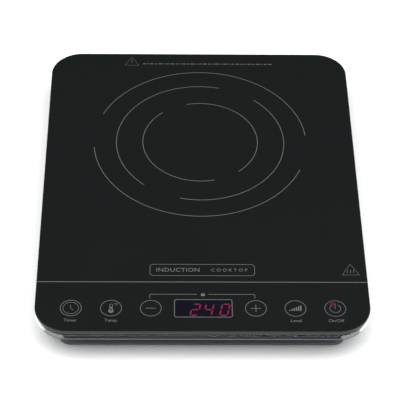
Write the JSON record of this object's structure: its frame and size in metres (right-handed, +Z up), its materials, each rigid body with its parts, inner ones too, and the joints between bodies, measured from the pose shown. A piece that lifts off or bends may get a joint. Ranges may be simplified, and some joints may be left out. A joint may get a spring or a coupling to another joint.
{
  "type": "portable induction cooktop",
  "caption": "Flat portable induction cooktop: black glass top with one ring-marked zone and a touch row, over an inset moulded base on rubber feet.",
  "frame": {"origin": "middle of the footprint, on the surface that the feet stand on", "axes": "+X to the user's right, +Y from the touch row at the front to the back, +Z up"},
  "size_m": [0.28, 0.356, 0.04],
  "materials": {
    "aluminium": "extruded",
    "black_glass": "polished black glass-ceramic",
    "board": "solder mask",
    "bright_rim": "polished",
    "capacitor_case": "moulded",
    "copper_wire": "enamelled copper strands",
    "cover_plastic": "fine grain",
    "dark_plastic": "moulded",
    "display_face": "smoked window",
    "ferrite": "ground",
    "grey_plastic": "satin",
    "label": "satin",
    "lamp": "clear",
    "lead_jacket": "satin",
    "light_plastic": "moulded",
    "mica": "layered sheet",
    "rubber": "matte",
    "silicone": "matte",
    "steel": "zinc plated",
    "white_rubber": "matte"
  },
  "bodies": {
    "cooktop": {"bottom_cover": "cover_plastic", "bridge_rectifier": "dark_plastic", "buzzer": "dark_plastic", "coil_former": "light_plastic", "coil_winding": "copper_wire", "control_board": "board", "cord_gland": "silicone", "cover_screw_front_left": "steel", "cover_screw_front_right": "steel", "cover_screw_rear_left": "steel", "cover_screw_rear_right": "steel", "current_transformer": "dark_plastic", "display_module": "display_face", "fan_frame": "dark_plastic", "fan_lead": "lead_jacket", "fan_stator": "copper_wire", "ferrite_bar_1": "ferrite", "ferrite_bar_2": "ferrite", "ferrite_bar_3": "ferrite", "ferrite_bar_4": "ferrite", "ferrite_bar_5": "ferrite", "ferrite_bar_6": "ferrite", "filter_capacitor": "capacitor_case", "filter_choke": "copper_wire", "foot_front_left": "rubber", "foot_front_right": "rubber", "foot_rear_left": "rubber", "foot_rear_right": "rubber", "fuse": "steel", "glass_gasket": "silicone", "glass_plate": "black_glass", "heatsink": "aluminium", "igbt": "dark_plastic", "line_capacitor": "capacitor_case", "mains_terminal": "light_plastic", "mica_sheet": "mica", "power_board": "board", "power_led": "lamp", "rating_plate": "label", "resonant_capacitor": "capacitor_case", "ribbon_cable": "lead_jacket", "thermistor": "dark_plastic", "thermistor_holder": "white_rubber", "thermistor_lead": "lead_jacket", "touch_spring_1": "steel", "touch_spring_2": "steel", "touch_spring_3": "steel", "touch_spring_4": "steel", "touch_spring_5": "steel", "touch_spring_6": "steel", "transformer": "ferrite", "trim_rim": "bright_rim", "upper_housing": "grey_plastic"},
    "rotor": {"fan_rotor": "dark_plastic"}
  },
  "joints": [
    {"name": "fan_spin", "type": "hinge", "parent": "cooktop", "child": "rotor", "pos_m": [-0.072, -0.078, 0.012], "axis": [0, 0, 1], "continuous": true}
  ]
}
